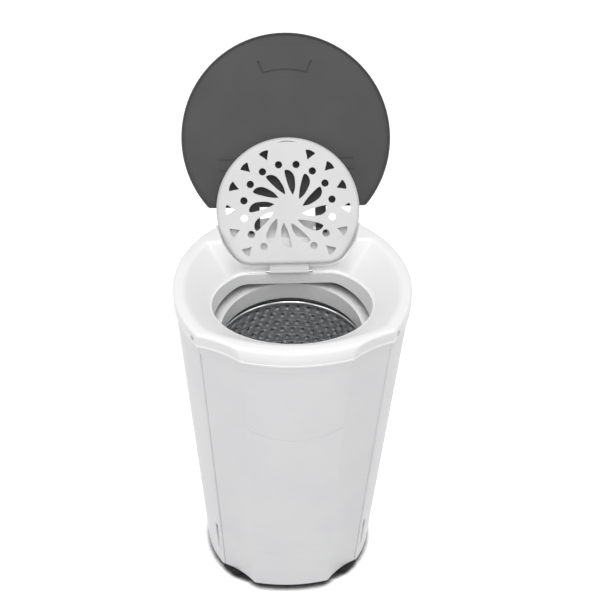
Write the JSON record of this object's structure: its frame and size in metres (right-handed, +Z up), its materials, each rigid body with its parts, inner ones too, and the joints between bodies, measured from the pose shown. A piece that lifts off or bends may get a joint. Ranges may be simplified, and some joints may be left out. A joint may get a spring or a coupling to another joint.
{
  "type": "laundry spin dryer",
  "caption": "Top-loading laundry spin dryer: tapered white casing, sunken deck, hinged grey lid, perforated inner lid and a perforated steel basket that spins on a suspended motor.",
  "frame": {"origin": "on the floor under the spin axis, in the plane of the four feet", "axes": "+Z up along the spin axis, -Y towards the flattened front, +X to the right as seen from the front"},
  "size_m": [0.4298, 0.6007, 0.942],
  "materials": {
    "white_casing": "moulded, semi-gloss",
    "white_deck": "moulded, semi-gloss",
    "grey_lid": "fine moulded texture",
    "tub_plastic": "moulded",
    "black_rubber": "moulded",
    "black_plastic": "moulded",
    "capacitor_shell": "moulded",
    "stainless": "polished sheet",
    "steel": "zinc plated",
    "motor_paint": "painted",
    "cast_alloy": "die cast",
    "stator_pack": "varnished"
  },
  "bodies": {
    "casing": {"rear_shell": "white_casing", "front_shell": "white_casing", "base_plate": "white_casing", "top_deck": "white_deck", "foot_front_left": "black_rubber", "foot_front_right": "black_rubber", "foot_rear_left": "black_rubber", "foot_rear_right": "black_rubber", "base_screws": "steel", "deck_screws": "steel", "outer_tub": "tub_plastic", "splash_ring": "white_deck", "drain_spout": "tub_plastic", "cord_grommet": "black_rubber", "motor_plate": "steel", "rubber_mounts": "black_rubber", "motor_lower_shield": "cast_alloy", "motor_upper_shield": "cast_alloy", "motor_casing": "motor_paint", "motor_stator": "stator_pack", "lower_bearing": "steel", "upper_bearing": "steel", "shaft_seal": "black_rubber", "run_capacitor": "capacitor_shell", "lid_switch": "black_plastic", "outer_lid_pins": "steel", "inner_lid_pin": "steel"},
    "outer_lid": {"outer_lid": "grey_lid"},
    "inner_lid": {"inner_lid": "white_deck"},
    "spinner": {"basket": "stainless", "basket_rim": "stainless", "basket_hub": "cast_alloy", "drive_shaft": "steel", "motor_rotor": "steel", "hub_nut": "stainless"}
  },
  "joints": [
    {"name": "lid_hinge", "type": "hinge", "parent": "casing", "child": "outer_lid", "pos_m": [0, 0.167, 0.669], "axis": [1, 0, 0], "range_deg": [0, 130]},
    {"name": "inner_lid_hinge", "type": "hinge", "parent": "casing", "child": "inner_lid", "pos_m": [0, 0.107, 0.617], "axis": [1, 0, 0], "range_deg": [0, 118.3]},
    {"name": "basket_spin", "type": "hinge", "parent": "casing", "child": "spinner", "pos_m": [0, 0, 0.1], "axis": [0, 0, 1], "continuous": true}
  ],
  "couplings": [
    {"joint": "inner_lid_hinge", "follows": "lid_hinge", "ratio": 0.9095}
  ]
}
